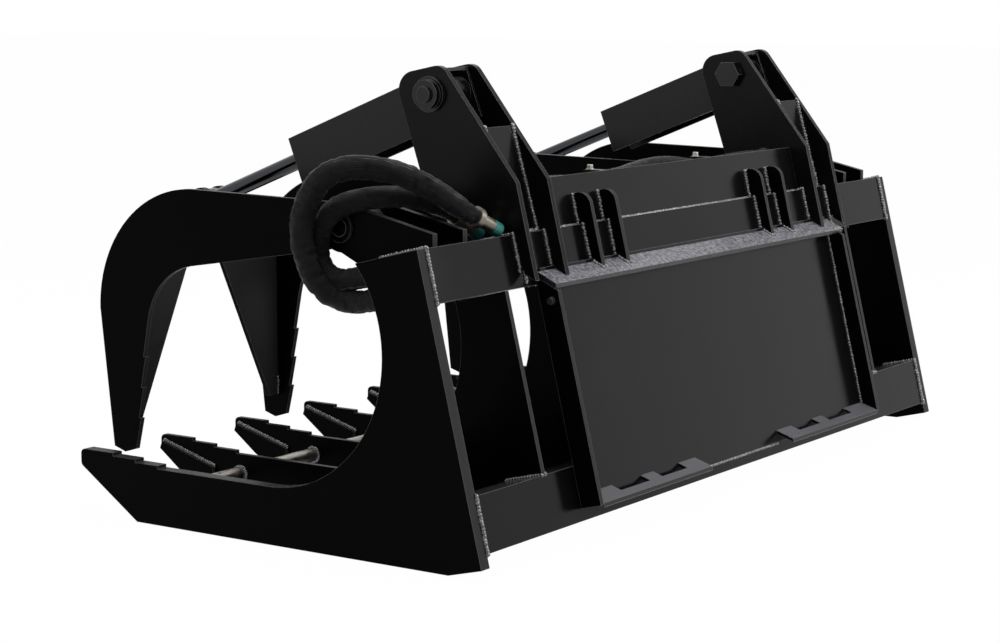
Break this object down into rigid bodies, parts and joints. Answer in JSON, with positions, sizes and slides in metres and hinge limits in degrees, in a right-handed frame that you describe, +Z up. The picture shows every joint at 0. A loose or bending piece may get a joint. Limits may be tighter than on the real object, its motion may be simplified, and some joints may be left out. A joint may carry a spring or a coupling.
{
  "type": "root grapple",
  "caption": "Skid steer root grapple: toothed tines under a leaning frame with a quick attach back and clamps swung by hydraulic cylinders.",
  "frame": {"origin": "on the ground under the middle of the whole box: the soles of the tines stand at zero height", "axes": "+X across to the right side plate when seen from behind, +Y forwards to the tine tips, +Z up"},
  "size_m": [1.829, 1.019, 0.8603],
  "materials": {
    "black_paint": "gloss powder coat",
    "zinc_steel": "dark satin",
    "chromed_rod": "polished",
    "hose_sleeve": "woven textile sleeve",
    "teal_cap": "moulded"
  },
  "bodies": {
    "frame": {"tine_1": "black_paint", "tine_2": "black_paint", "tine_3": "black_paint", "tine_4": "black_paint", "tine_5": "black_paint", "tine_6": "black_paint", "tine_7": "black_paint", "side_plate_left": "black_paint", "side_plate_right": "black_paint", "upper_beam": "black_paint", "lower_beam": "black_paint", "tie_bar": "black_paint", "face_plate": "black_paint", "top_lip": "black_paint", "attach_flange_left": "black_paint", "attach_flange_right": "black_paint", "lock_plate_left": "black_paint", "lock_plate_right": "black_paint", "upper_plate": "black_paint", "rib_pair_left": "black_paint", "rib_pair_right": "black_paint", "tower_plate_left_inner": "black_paint", "tower_plate_left_outer": "black_paint", "tower_plate_right_inner": "black_paint", "tower_plate_right_outer": "black_paint", "tower_web_left": "black_paint", "tower_web_right": "black_paint", "hinge_ears_left_inner": "black_paint", "hinge_ears_left_outer": "black_paint", "hinge_ears_right_inner": "black_paint", "hinge_ears_right_outer": "black_paint", "hinge_pins": "zinc_steel", "hinge_collars": "zinc_steel", "cylinder_bolts": "zinc_steel", "cylinder_nuts": "zinc_steel", "supply_hose_1": "hose_sleeve", "hose_coupler_1": "zinc_steel", "coupler_cap_1": "teal_cap", "supply_hose_2": "hose_sleeve", "hose_coupler_2": "zinc_steel", "coupler_cap_2": "teal_cap", "hose_ports": "zinc_steel", "cross_hose": "hose_sleeve", "hose_clamps": "black_paint"},
    "clamp_left": {"claw_left_inner": "black_paint", "claw_left_outer": "black_paint", "claw_shield_left": "black_paint", "rod_lugs_left": "black_paint", "rod_bolt_left": "zinc_steel"},
    "cylinder_left": {"cylinder_barrel_left": "black_paint", "cylinder_guard_left": "black_paint"},
    "rod_left": {"cylinder_rod_left": "chromed_rod"},
    "clamp_right": {"claw_right_inner": "black_paint", "claw_right_outer": "black_paint", "claw_shield_right": "black_paint", "rod_lugs_right": "black_paint", "rod_bolt_right": "zinc_steel"},
    "cylinder_right": {"cylinder_barrel_right": "black_paint", "cylinder_guard_right": "black_paint"},
    "rod_right": {"cylinder_rod_right": "chromed_rod"}
  },
  "joints": [
    {"name": "clamp_left_hinge", "type": "hinge", "parent": "frame", "child": "clamp_left", "pos_m": [-0.5665, -0.12651, 0.58003], "axis": [1, 0, 0], "range_deg": [0, 50]},
    {"name": "cylinder_left_hinge", "type": "hinge", "parent": "frame", "child": "cylinder_left", "pos_m": [-0.5665, -0.16151, 0.80803], "axis": [1, 0, 0], "range_deg": [0, 48]},
    {"name": "rod_left_slide", "type": "slide", "parent": "cylinder_left", "child": "rod_left", "axis": [0, 0.9304, -0.3665], "range_m": [-0.1945, 0]},
    {"name": "clamp_right_hinge", "type": "hinge", "parent": "frame", "child": "clamp_right", "pos_m": [0.5665, -0.12651, 0.58003], "axis": [1, 0, 0], "range_deg": [0, 50]},
    {"name": "cylinder_right_hinge", "type": "hinge", "parent": "frame", "child": "cylinder_right", "pos_m": [0.5665, -0.16151, 0.80803], "axis": [1, 0, 0], "range_deg": [0, 48]},
    {"name": "rod_right_slide", "type": "slide", "parent": "cylinder_right", "child": "rod_right", "axis": [0, 0.9304, -0.3665], "range_m": [-0.1945, 0]}
  ],
  "couplings": [
    {"joint": "cylinder_left_hinge", "follows": "clamp_left_hinge", "ratio": 0.95318},
    {"joint": "rod_left_slide", "follows": "clamp_left_hinge", "m_per_rad": -0.22208},
    {"joint": "cylinder_right_hinge", "follows": "clamp_right_hinge", "ratio": 0.95318},
    {"joint": "rod_right_slide", "follows": "clamp_right_hinge", "m_per_rad": -0.22208}
  ]
}
